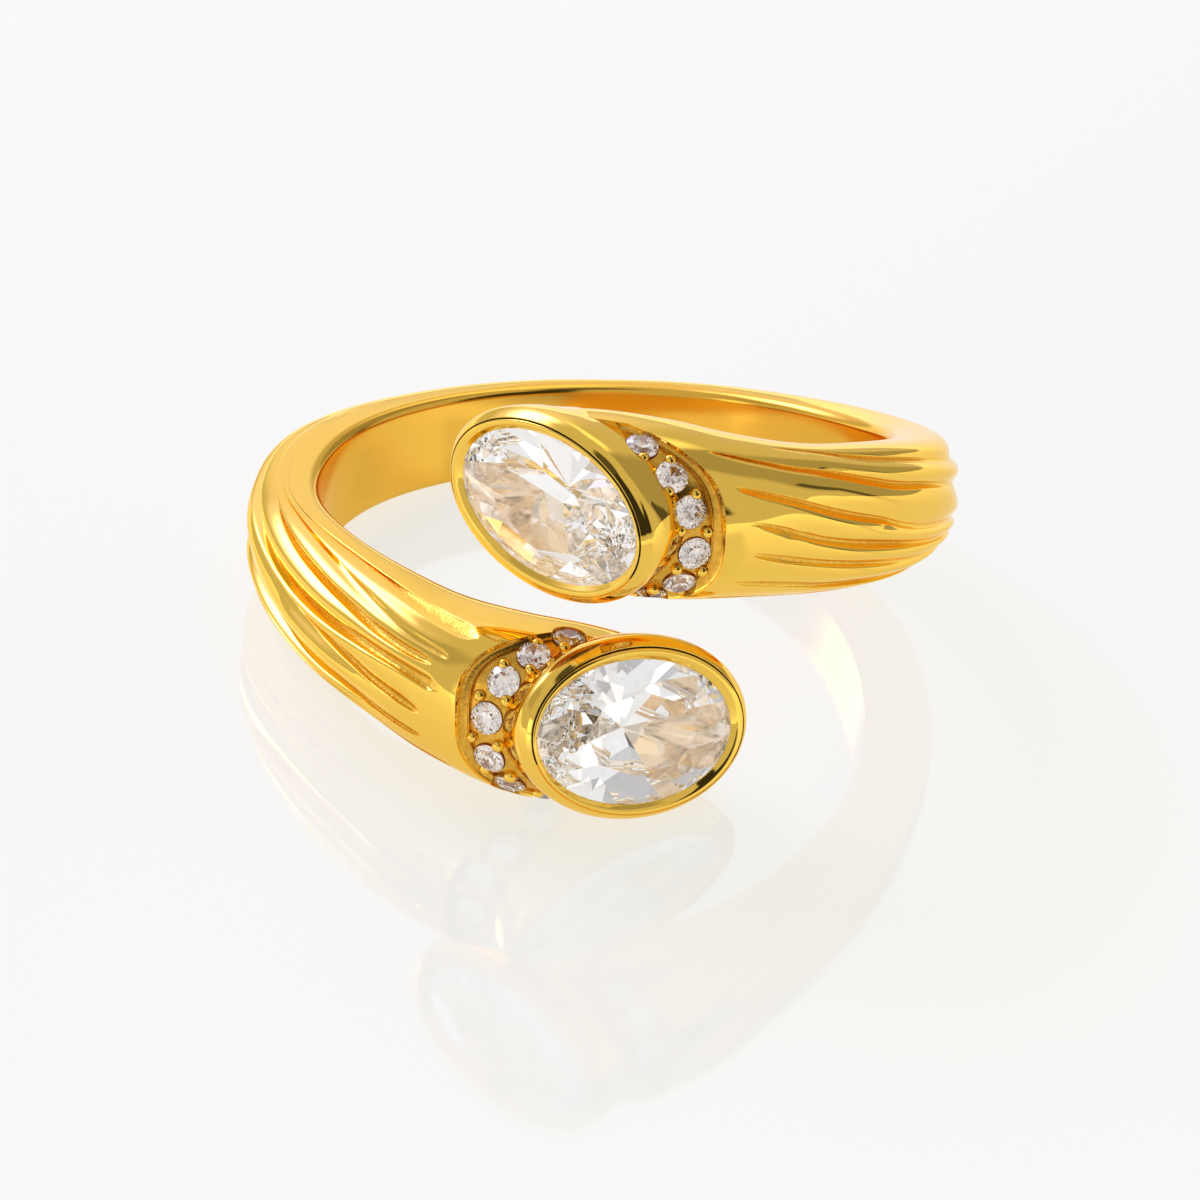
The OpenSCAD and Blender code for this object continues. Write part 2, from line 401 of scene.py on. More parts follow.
@dataclass(frozen=True)
class Channel:
    """Crescent cut behind a head, with the row of small stones and beads in it.

    The shoulder's points are (degrees past the rim, depth under the arm's surface).
    """

    start: float = 162.0
    curl: float = 12.0
    wall: float = 1.8
    depth: float = 0.42
    end: float = 80.0
    bulge: float = 166.0
    row_curl: float = 8.5
    row_middle: tuple[float, float] = (-10.0, 10.0)
    places: tuple[tuple[float, ...], ...] = ((60, 35, 11, -12, -41, -67), (79, 52, 25, -1.5, -28, -54, -78))
    bead_aside: float = 1.9
    bead: float = 0.185
    rows: int = 81
    floor_steps: int = 30
    roof_steps: int = 8
    front: float = 198.0
    step: float = 0.1
    above: float = -2.0
    half_arc: float = 78.0
    shoulder: tuple[tuple[float, float], ...] = (
        (-0.5, -0.07), (-0.12, -0.004), (0.0, 0.012), (0.1, 0.05), (0.3, 0.14), (0.75, 0.25), (1.25, 0.33),
        (1.42, 0.345), (1.5, 0.315), (1.6, 0.3), (1.7, 0.315), (1.78, 0.36), (1.84, 0.42),
    )

    def row(self, side: Side) -> tuple[float, ...]:
        """Places of the small stones of one arm."""
        return self.places[0 if side is Side.UPPER else 1]

    def rim(self, place: np.ndarray) -> np.ndarray:
        """Angle of the channel's outer edge at a place on the section."""
        return self.start + self.curl * (np.abs(place) / self.half_arc) ** 2.6

    def cutter(self, arm: ArmShape) -> Solid:
        """Solid that cuts the channel, in the frame of the upper arm.

        Args:
            arm: Surface that the channel is cut into.

        Returns:
            The cutter.
        """
        rings = []
        long, high = self.floor_steps, self.roof_steps
        for place in np.linspace(-self.end, self.end, self.rows):
            edge = float(self.rim(np.array(place)))
            floor = edge + self.wall
            steps = [(edge + a, sink) for a, sink in self.shoulder]
            reach = self.front - self.step - floor
            steps += [(floor + self.step + reach * k / long, self.depth) for k in range(long + 1)]
            steps += [(edge + (self.front - edge) * k / high, self.above) for k in range(high, -1, -1)]
            rings.append([arm.point(np.array(a), np.array(place), sink) for a, sink in steps])
        return skin(np.array(rings))

    def seat(self, arm: ArmShape, side: Side, place: float, aside: float = 0.0) -> np.ndarray:
        """Frame on the channel floor.

        Args:
            arm: Surface that the channel is cut into.
            side: The arm.
            place: Place on the section.
            aside: Degrees round the ring from the row's line.

        Returns:
            4 x 4 frame with Z out of the floor.
        """
        middle = self.row_middle[0 if side is Side.UPPER else 1]
        a = self.bulge + self.row_curl * (abs(place - middle) / self.half_arc) ** 1.8 + aside
        p = arm.point(a, place, self.depth)
        x = arm.point(a + 0.5, place, self.depth) - p
        n = np.cross(arm.point(a, place + 1, self.depth) - p, x)
        x, n = x / np.linalg.norm(x), n / np.linalg.norm(n)
        return turned(side, np.column_stack([x, np.cross(n, x), n, p]))


def turned(side: Side, columns: np.ndarray) -> np.ndarray:
    """A frame of the upper arm as a 4 x 4 frame of either arm.

    Args:
        side: The arm.
        columns: Three axes and the origin.

    Returns:
        4 x 4 frame.
    """
    frame = np.eye(4)
    frame[:3] = columns
    return np.diag([side.value, 1.0, side.value, 1.0]) @ frame


def lifted(height: float) -> np.ndarray:
    """Frame at a height above the origin.

    Args:
        height: Height in millimetres.

    Returns:
        4 x 4 frame.
    """
    frame = np.eye(4)
    frame[2, 3] = height
    return frame


@dataclass(frozen=True)
class Head:
    """Closed bezel at the end of an arm, with its oval seat.

    A row of the profile holds the offset beyond the stone's outline, the height and the sideways lean. The two seam
    fields hold the middle and half the width of the band in which a face gets the painted shade of the seam.
    """

    side: Side
    past: float
    radius: float
    height: float
    turn: float
    lift: float
    roll: float
    half_length: float = 3.42
    half_width: float = 2.15
    lip: float = 0.1
    gap: float = 0.04
    seam: tuple[float, float] = (0.355, 0.0225)
    seam_height: tuple[float, float] = (0.04, 0.045)
    seam_lean: float = 0.075
    seam_low: float = -0.9
    profile: tuple[tuple[float, float, float], ...] = (
        (-1.18, -4.1, 0), (-0.3, -3.3, 0), (0.1, -2.4, 0.05), (0.3, -1.7, 0.1), (0.48, -1.2, 0.15),
        (0.59, -0.7, 0.16), (0.62, -0.42, 0.16), (0.61, -0.31, 0.16), (0.575, -0.21, 0.155), (0.515, -0.1, 0.13),
        (0.45, -0.01, 0.11), (0.4, 0.045, 0.09), (0.375, 0.05, 0.08), (0.355, 0.0, 0.075), (0.335, 0.075, 0.07),
        (0.31, 0.105, 0.06), (0.25, 0.118, 0.04), (0.19, 0.112, 0.01), (0.15, 0.09, 0), (0.1, 0.045, 0),
        (0.05, 0.0, 0), (0.0, -0.05, 0), (-0.02, -0.1, 0),
    )

    def frame(self) -> np.ndarray:
        """Frame of the stone: along it toward the shoulder, across it upward, and out of it.

        Returns:
            4 x 4 frame.
        """
        turn, lift, roll = (math.radians(v) for v in (self.turn, self.lift, self.roll))
        out = np.array([-math.sin(turn) * math.cos(lift), -math.cos(turn) * math.cos(lift), math.sin(lift)])
        level = np.array([math.cos(turn), -math.sin(turn), 0.0])
        along = level * math.cos(roll) + np.cross(out, level) * math.sin(roll)
        a = math.radians(180.0 + self.past)
        origin = np.array([self.radius * math.sin(a), self.radius * math.cos(a), self.height])
        return turned(self.side, np.column_stack([along, np.cross(out, along), out, origin]))

    def wall(self, count: int = 128) -> Solid:
        """The cup, from inside the band up over its rounded rim.

        Args:
            count: Points round the oval.

        Returns:
            The closed solid.
        """
        table = np.array([(i, *row) for i, row in enumerate(self.profile)], float)
        steps = np.concatenate([np.arange(0, 4), np.linspace(4, len(self.profile) - 1, 69)])
        rings = []
        for i in steps:
            out, z, lean = (float(smooth(table, np.array(i), k)) for k in (1, 2, 3))
            rings.append(oval(self.half_length + out, self.half_width + out, z, count) - [lean, lean / 2, 0])
        return skin(np.array(rings)).moved(self.frame())

    def seat(self, girdle_top: float = -0.1, girdle_low: float = -0.18, pavilion: float = 1.85) -> Solid:
        """Cutter of the stone's seat.

        Args:
            girdle_top: Height of the upper edge of the girdle.
            girdle_low: Height of its lower edge.
            pavilion: Depth below the girdle.

        Returns:
            The closed cutter.
        """
        a, b, g = self.half_length, self.half_width, self.lip + self.gap
        rows = (
            (a * 0.2, b * 0.2, girdle_low - pavilion - 0.14), (a + g, b + g, girdle_low - 0.04),
            (a + g, b + g, girdle_top + 0.04), (a, b, girdle_top + 0.08), (a, b, 1.0),
        )
        return skin(np.array([oval(p, q, z, 96, 1.875) for p, q, z in rows])).moved(self.frame())

    def in_seam(self, points: np.ndarray) -> np.ndarray:
        """Marks the points that lie in the seam between the lip and the wall.

        Args:
            points: Points in millimetres in the ring's own frame.

        Returns:
            One truth value for each point.
        """
        frame = self.frame()
        near = (points - frame[:3, 3]) @ frame[:3, :3] + np.array([self.seam_lean, self.seam_lean / 2, 0.0])
        x, y, z = near.T
        low, high = np.full(len(near), 0.2), np.full(len(near), 0.6)
        for _ in range(16):
            out = (low + high) / 2
            outside = (x / (self.half_length + out)) ** 2 + (y / (self.half_width + out)) ** 2 > 1.0
            low, high = np.where(outside, out, low), np.where(outside, high, out)
        (middle, reach), (level, rise) = self.seam, self.seam_height
        return (y * self.side.value > self.seam_low) & (np.abs(low - middle) < reach) & (np.abs(z - level) < rise)

    def scoop(
        self,
        around: tuple[float, float] = (-36.0, -68.0),
        heights: tuple[float, float] = (-0.34, -0.22),
        half_width: float = 0.17,
        depth: float = 0.22,
    ) -> Solid:
        """Cutter of the leaf-shaped pocket in the wall beside the channel.

        Args:
            around: Angles round the oval at both tips in degrees.
            heights: Heights at both tips.
            half_width: Half width at its middle.
            depth: Depth at its middle.

        Returns:
            The closed cutter.
        """
        share = np.linspace(0.0, 1.0, 33)
        t = np.radians(around[0] + (around[1] - around[0]) * share)
        z = heights[0] + (heights[1] - heights[0]) * share
        wall = np.array([(z, out, lean) for out, z, lean in self.profile[:9]])
        out, lean = smooth(wall, np.clip(z, -4.0, 0.03), 1), smooth(wall, np.clip(z, -4.0, 0.03), 2)
        x, y = (self.half_length + out) * np.cos(t) - lean, (self.half_width + out) * np.sin(t) - lean / 2
        path = np.stack([x, y, z], axis=1)
        facing = np.stack([np.cos(t), np.sin(t) * 1.4, np.full_like(t, 0.45)], axis=1)
        facing /= np.linalg.norm(facing, axis=1, keepdims=True)
        aside = np.cross(np.gradient(path, axis=0), facing)
        aside /= np.linalg.norm(aside, axis=1, keepdims=True)
        swell = (0.02 + 0.98 * np.sin(math.pi * share) ** 0.8)[:, None]
        turn = np.radians(np.arange(360, 0, -20.0))
        rings = [path + swell * (aside * half_width * math.cos(a) + facing * depth * math.sin(a)) for a in turn]
        return skin(np.stack(rings, axis=1)).moved(self.frame())

    def space(self) -> Solid:
        """Cutter that clears the arm where the cup and the stone stand.

        Returns:
            The closed cutter.
        """
        (left, right), (low, high), heights = (-7.4, 0.6), (-3.4, 3.4), (-0.15, 3.85)
        rings = [[(left, low, z), (right, low, z), (right, high, z), (left, high, z)] for z in heights]
        return skin(np.array(rings)).moved(self.frame())


@dataclass(frozen=True)
class Cut:
    """A faceted stone, given as facet planes of a round stone of radius 1 that is then stretched."""

    half_length: float
    half_width: float
    crown: float
    pavilion: float
    table: float = 0.56
    girdle: float = 0.04
    sides: int = 96

    def planes(self) -> list[tuple[float, float, float, float]]:
        """Facet planes for radius 1 and true heights.

        Returns:
            Rows of normal x, y, z and distance.
        """
        rows: list[tuple[float, float, float, float]] = [(0, 0, 1, self.girdle + self.crown)]

        def ring(count: int, turn: float, p: tuple[float, float], q: tuple[float, float]) -> None:
            """Adds a ring of facets.

            Args:
                count: Number of facets.
                turn: Angle of the first facet in degrees.
                p: Radius and height of one point on the middle line of a facet.
                q: Radius and height of another such point.
            """
            dr, dz = q[0] - p[0], q[1] - p[1]
            nr, nz = (-dz, dr) if dz * p[0] - dr * p[1] < 0 else (dz, -dr)
            n = math.hypot(nr, nz)
            nr, nz = nr / n, nz / n
            if nr < 0:
                nr, nz = -nr, -nz
            for k in range(count):
                t = math.radians(turn + 360.0 * k / count)
                rows.append((nr * math.cos(t), nr * math.sin(t), nz, nr * p[0] + nz * p[1]))

        top, t = self.girdle + self.crown, self.table
        ring(8, 0, (1.0, self.girdle), (t, top))
        ring(8, 22.5, (t * 0.924, top), ((1 + t) / 2 * 0.96, self.girdle + self.crown * 0.52))
        ring(16, 11.25, (0.996, self.girdle), ((1 + t) / 2, self.girdle + self.crown * 0.535))
        ring(8, 0, (1.0, -0.01), (0.0, -self.pavilion))
        ring(16, 11.25, (0.996, 0.0), (0.3, -self.pavilion * 0.755))
        return rows

    def solid(self) -> Solid:
        """The stone, cut plane by plane from a round block.

        Returns:
            The closed solid.
        """
        mesh = bmesh.new()
        ends = (-self.pavilion - 0.1, self.girdle + self.crown + 0.1)
        block = skin(np.array([oval(1, 1, z, self.sides) for z in ends]))
        points = [mesh.verts.new(p) for p in block.points]
        for face in block.faces:
            mesh.faces.new([points[i] for i in face])
        for x, y, z, distance in self.planes():
            normal = Vector((x, y, z))
            everything = mesh.verts[:] + mesh.edges[:] + mesh.faces[:]
            cut = bmesh.ops.bisect_plane(
                mesh, geom=everything, dist=1e-7, plane_co=normal * distance, plane_no=normal, clear_outer=True
            )
            edges = [e for e in cut["geom_cut"] if isinstance(e, bmesh.types.BMEdge)]
            bmesh.ops.contextual_create(mesh, geom=edges)
        bmesh.ops.recalc_face_normals(mesh, faces=mesh.faces[:])
        mesh.verts.index_update()
        result = Solid(
            np.array([v.co[:] for v in mesh.verts]) * [self.half_length, self.half_width, 1.0],
            [tuple(v.index for v in f.verts) for f in mesh.faces],
        )
        mesh.free()
        return result


def add_object(
    name: str, solid: Solid, rest: Rest, materials: tuple[bpy.types.Material, ...] = ()
) -> bpy.types.Object:
    """Makes an object of a solid.

    Args:
        name: Name of the object and its mesh.
        solid: Shape in millimetres.
        rest: How the ring lies.
        materials: Materials of the mesh.

    Returns:
        The new object.
    """
    mesh = bpy.data.meshes.new(name)
    mesh.from_pydata(rest.place(solid.points).tolist(), [], solid.faces)
    mesh.validate()
    for material in materials:
        mesh.materials.append(material)
    piece = bpy.data.objects.new(name, mesh)
    bpy.context.scene.collection.objects.link(piece)
    return piece


def join_solids(piece: bpy.types.Object, tool: bpy.types.Object, how: Join) -> None:
    """Joins a tool to a piece and removes the tool.

    Args:
        piece: Object that is changed.
        tool: Object that is used up.
        how: Whether the tool is added or cut away.
    """
    modifier = piece.modifiers.new("join", "BOOLEAN")
    modifier.operation = how.value
    modifier.solver = "MANIFOLD"
    modifier.object = tool
    shaped = bpy.data.meshes.new_from_object(piece.evaluated_get(bpy.context.evaluated_depsgraph_get()))
    piece.modifiers.clear()
    old, piece.data = piece.data, shaped
    bpy.data.meshes.remove(old)
    bpy.data.meshes.remove(tool.data)


def smooth_faces(piece: bpy.types.Object) -> None:
    """Sets smooth shading on every face of a piece."""
    piece.data.polygons.foreach_set("use_smooth", np.ones(len(piece.data.polygons), dtype=bool))


@dataclass(frozen=True)
class NodeBench:
    """Small helper that places nodes in a tree."""

    tree: bpy.types.NodeTree

    def add(self, kind: str, values: dict[str, object] | None = None, **settings: object) -> bpy.types.Node:
        """Adds a node.

        Args:
            kind: Type name of the node.
            values: Socket values or source sockets by socket name.
            settings: Properties of the node.

        Returns:
            The node.
        """
        node = self.tree.nodes.new(kind)
        for name, value in settings.items():
            setattr(node, name, value)
        for name, value in (values or {}).items():
            socket = node.inputs[int(name[1:])] if name[0] == "#" else node.inputs[name]
            if isinstance(value, bpy.types.NodeSocket):
                self.tree.links.new(value, socket)
            else:
                socket.default_value = value
        return node

    def math(self, operation: str, *values: object) -> bpy.types.NodeSocket:
        """Adds a Math node and returns its output."""
        return self.add("ShaderNodeMath", {f"#{i}": v for i, v in enumerate(values)}, operation=operation).outputs[0]

    def noise(self, at: object, scale: float, detail: float, rough: float = 0.5) -> bpy.types.NodeSocket:
        """Adds a noise texture and returns its grey output."""
        values = {"Vector": at, "Scale": scale, "Detail": detail, "Roughness": rough}
        return self.add("ShaderNodeTexNoise", values).outputs["Fac"]

    def spread(
        self, value: object, low: float, high: float, to_low: float = 0.0, to_high: float = 1.0
    ) -> bpy.types.NodeSocket:
        """Adds a Map Range node from low..high to to_low..to_high and returns its output."""
        values = {"Value": value, "From Min": low, "From Max": high, "To Min": to_low, "To Max": to_high}
        return self.add("ShaderNodeMapRange", values).outputs[0]

    def blend(self, share: object, first: object, second: object) -> bpy.types.NodeSocket:
        """Adds a Mix node between two numbers and returns its output."""
        return self.add("ShaderNodeMix", {"Factor": share, "#2": first, "#3": second}).outputs[0]

    def blend_colours(self, share: object, first: object, second: object) -> bpy.types.NodeSocket:
        """Adds a Mix node between two colours and returns its output."""
        values = {"Factor": share, "#6": first, "#7": second}
        return self.add("ShaderNodeMix", values, data_type="RGBA").outputs["Result"]

    def spot(self) -> bpy.types.NodeSocket:
        """Adds the object coordinates and returns their output."""
        return self.add("ShaderNodeTexCoord").outputs["Object"]

    def scaled_spot(self, scale: object) -> bpy.types.NodeSocket:
        """Adds the object coordinates times a scale and returns their output."""
        return self.add("ShaderNodeVectorMath", {"#0": self.spot(), "Scale": scale}, operation="SCALE").outputs[0]

    def group(self, tree: bpy.types.NodeTree, values: dict[str, float]) -> bpy.types.Node:
        """Adds a node group, sets its inputs and returns its node."""
        return self.add("ShaderNodeGroup", values, node_tree=tree)


def open_group(name: str, inputs: dict[str, float], outputs: tuple[str, ...]) -> NodeBench:
    """Starts a node group of plain numbers.

    Args:
        name: Name of the group.
        inputs: Default of each input by name.
        outputs: Names of the outputs.

    Returns:
        The bench of the group.
    """
    group = bpy.data.node_groups.new(name, "ShaderNodeTree")
    for label, value in inputs.items():
        group.interface.new_socket(label, in_out="INPUT", socket_type="NodeSocketFloat").default_value = value
    for label in outputs:
        group.interface.new_socket(label, in_out="OUTPUT", socket_type="NodeSocketFloat")
    return NodeBench(group)


def open_material(name: str) -> tuple[bpy.types.Material, NodeBench]:
    """Starts a material with an empty tree.

    Args:
        name: Name of the material.

    Returns:
        The material and the bench of its tree.
    """
    material = bpy.data.materials.new(name)
    material.use_nodes = True
    material.node_tree.nodes.clear()
    return material, NodeBench(material.node_tree)


def make_wear_group() -> bpy.types.NodeTree:
    """Node group with the fine wear of polished metal: a slow waviness and hair scratches.

    Returns:
        The group, with outputs Rough and Height.
    """
    bench = open_group("polish_wear", {"Scale": 1.0, "Scratches": 0.5}, ("Rough", "Height"))
    given = bench.add("NodeGroupInput").outputs
    scaled = bench.scaled_spot(given["Scale"])
    slow = bench.noise(scaled, 220.0, 3.0, 0.55)
    fine = bench.noise(scaled, 2600.0, 4.0, 0.7)
    streak = {"Vector": scaled, "Rotation": (0.5, 0.4, 0.9), "Scale": (260.0, 5200.0, 2400.0)}
    hair = bench.noise(bench.add("ShaderNodeMapping", streak).outputs[0], 1.0, 2.0)
    scratch = bench.math("MULTIPLY", bench.spread(hair, 0.66, 0.74), given["Scratches"])
    rough = bench.math("ADD", bench.math("MULTIPLY", fine, 0.5), bench.math("MULTIPLY", scratch, 0.5))
    height = bench.math("SUBTRACT", slow, bench.math("MULTIPLY", scratch, 0.06))
    bench.add("NodeGroupOutput", {"Rough": rough, "Height": height})
    return bench.tree


def make_pit_group() -> bpy.types.NodeTree:
    """Node group with the sandy, pitted bottom of a cut in cast metal.

    Returns:
        The group, with outputs Height and Dark.
    """
    bench = open_group("cast_pits", {"Scale": 1.0}, ("Height", "Dark"))
    given = bench.add("NodeGroupInput").outputs
    scaled = bench.scaled_spot(given["Scale"])
    sand = bench.noise(scaled, 16000.0, 3.0, 0.6)
    lump = bench.noise(scaled, 6500.0, 2.0)
    pit = bench.add("ShaderNodeTexVoronoi", {"Vector": scaled, "Scale": 15000.0}, feature="F1").outputs["Distance"]
    height = bench.math("ADD", bench.math("MULTIPLY", sand, 0.45), bench.math("MULTIPLY", lump, 0.8))
    height = bench.math("ADD", height, bench.math("MULTIPLY", bench.spread(pit, 0.12, 0.3), 0.25))
    bench.add("NodeGroupOutput", {"Height": height, "Dark": bench.spread(lump, 0.62, 0.42)})
    return bench.tree


@dataclass(frozen=True)
class Gold:
    """Polished yellow gold, with sandy bottoms in its grooves and channels. The deeper tone of those bottoms is
    partly their sandy finish and partly painted shade, and the finger wall gets it as painted shade.
    """

    name: str
    tone: tuple[float, float, float]
    deep_tone_and_shade: tuple[float, float, float]
    rough: float
    sandy: float
    pit_height: float = 9.0

    def make(self, wear: bpy.types.NodeTree, pits: bpy.types.NodeTree) -> bpy.types.Material:
        """Builds the material.

        Args:
            wear: Group with the wear of polished metal.
            pits: Group with the pitted bottom of a cut.

        Returns:
            The material.
        """
        material, bench = open_material(self.name)
        material.diffuse_color = (*self.tone, 1.0)
        worn = bench.group(wear, {"Scale": 1.0, "Scratches": 0.35}).outputs
        cast = bench.group(pits, {"Scale": 1.0}).outputs
        depth = bench.add("ShaderNodeAttribute", attribute_name="groove").outputs["Fac"]
        sandy = bench.math("MAXIMUM", bench.spread(depth, 0.35, 0.9), self.sandy)
        # Painted shade: on the finger wall (marked -1) the satin share also mixes in the deeper tone.
        satin_and_shade = bench.spread(depth, -0.1, -0.9)
        # The deeper tone on sandy bottoms is partly their own finish and partly painted shade of the recess; on the
        # finger wall it is painted shade.
        sand_and_shade = bench.math("MULTIPLY", sandy, bench.math("MULTIPLY_ADD", cast["Dark"], 0.5, 0.5))
        sand_and_shade = bench.math("MAXIMUM", sand_and_shade, bench.math("MULTIPLY", satin_and_shade, 0.9))
        tone = bench.blend_colours(sand_and_shade, (*self.tone, 1), (*self.deep_tone_and_shade, 1))
        polish = bench.math("MULTIPLY_ADD", satin_and_shade, 0.12, self.rough - 0.02)
        polish = bench.math("MULTIPLY_ADD", worn["Rough"], 0.05, polish)
        rough = bench.blend(sandy, polish, 0.3)
        height = bench.blend(sandy, worn["Height"], bench.math("MULTIPLY", cast["Height"], self.pit_height))
        soft = bench.add("ShaderNodeBevel", {"Radius": 0.035 * MM}, samples=6).outputs[0]
        relief = {"Strength": 1.0, "Distance": 0.002 * MM, "Height": height, "Normal": soft}
        shader = bench.add("ShaderNodeBsdfPrincipled", {
            "Base Color": tone, "Metallic": 1.0, "Roughness": rough, "Specular Tint": (1.0, 0.9, 0.66, 1),
            "Normal": bench.add("ShaderNodeBump", relief).outputs[0],
        })
        bench.add("ShaderNodeOutputMaterial", {"Surface": shader.outputs[0]})
        return material


# The deep tones are partly the sandy finish and partly painted shade. The channel gold's own tone is darker partly as
# painted shade of the channel, and the last, near-black gold is painted shade for the seam beside each lip.
GOLDS: tuple[Gold, ...] = (
    Gold("polished_gold", (0.96, 0.61, 0.1), (0.84, 0.47, 0.06), 0.05, 0.0),
    Gold("channel_gold", (0.88, 0.52, 0.08), (0.56, 0.24, 0.02), 0.14, 0.6, 6.5),
    Gold("seat_gold", (1.0, 0.9, 0.74), (0.95, 0.75, 0.5), 0.1, 0.0),
    Gold("painted_seam_shade", (0.12, 0.07, 0.02), (0.08, 0.04, 0.01), 0.3, 0.0),
)


@dataclass(frozen=True)
class Crystal:
    """Clear faceted stone."""

    name: str
    index: float
    tint: tuple[float, float, float]

    def make(self) -> bpy.types.Material:
        """Builds the material.

        Returns:
            The material.
        """
        material, bench = open_material(self.name)
        material.diffuse_color = (*self.tint, 0.4)
        rough = bench.spread(bench.noise(bench.spot(), 900.0, 2.0), 0.55, 0.8, 0.0, 0.02)
        shader = bench.add("ShaderNodeBsdfPrincipled", {
            "Base Color": (*self.tint, 1), "Roughness": rough, "IOR": self.index, "Transmission Weight": 1.0,
        })
        bench.add("ShaderNodeOutputMaterial", {"Surface": shader.outputs[0]})
        return material


@dataclass(frozen=True)
class Table:
    """Glossy pale surface that the ring lies on."""

    size: float = 0.6
    tone: tuple[float, float, float] = (0.2, 0.2, 0.2)
    glow: float = 0.715

    def build(self) -> None:
        """Makes the surface and its material."""
        s, mesh = self.size, bpy.data.meshes.new("table")
        mesh.from_pydata([(-s, -s, 0), (s, -s, 0), (s, s, 0), (-s, s, 0)], [], [(0, 1, 2, 3)])
        material, bench = open_material("pale_acrylic")
        rough = bench.spread(bench.noise(bench.spot(), 60.0, 2.0), 0.0, 1.0, 0.05, 0.08)
        shader = bench.add("ShaderNodeBsdfPrincipled", {
            "Base Color": (*self.tone, 1), "Roughness": rough,
            "Emission Color": (1.0, 1.0, 0.95, 1), "Emission Strength": self.glow,
        })
        bench.add("ShaderNodeOutputMaterial", {"Surface": shader.outputs[0]})
        mesh.materials.append(material)
        table = bpy.data.objects.new("table", mesh)
        bpy.context.scene.collection.objects.link(table)


